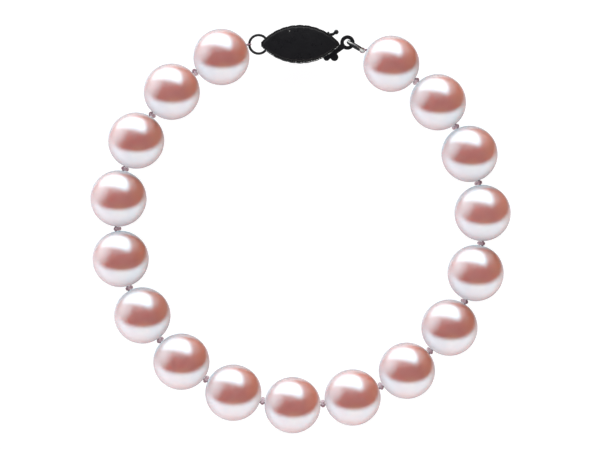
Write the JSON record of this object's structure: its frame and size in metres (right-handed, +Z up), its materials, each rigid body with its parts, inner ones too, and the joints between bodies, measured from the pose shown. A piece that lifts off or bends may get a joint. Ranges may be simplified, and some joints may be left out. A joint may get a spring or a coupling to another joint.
{
  "type": "pearl bracelet",
  "caption": "Round bracelet of equal white pearls on a knotted silk thread, closed with a black marquise fish-hook clasp and jump ring, lying flat.",
  "frame": {"origin": "on the surface the bracelet lies on, under the middle of its bounding box", "axes": "+Z up, square to the plane of the loop; +Y from the middle of the loop towards the clasp; +X to the right, across the loop, from the clasp's soldered ring towards its hook"},
  "size_m": [0.0702, 0.0682, 0.0094],
  "materials": {
    "pearl": "polished nacre, white with a pink overtone, mirror-like lustre",
    "silk": "twisted silk cord, mauve grey, knotted between the pearls",
    "clasp_metal": "polished black plated silver",
    "ring_metal": "polished black plated wire, rubbed bright along its outside"
  },
  "bodies": {
    "root": {"pearl_01": "pearl", "pearl_02": "pearl", "pearl_03": "pearl", "pearl_04": "pearl", "pearl_05": "pearl", "pearl_06": "pearl", "pearl_07": "pearl", "pearl_08": "pearl", "pearl_09": "pearl", "pearl_10": "pearl", "pearl_11": "pearl", "pearl_12": "pearl", "pearl_13": "pearl", "pearl_14": "pearl", "pearl_15": "pearl", "pearl_16": "pearl", "pearl_17": "pearl", "silk_thread": "silk", "clasp_case": "clasp_metal", "clasp_hook": "clasp_metal", "jump_ring": "ring_metal"}
  },
  "joints": []
}
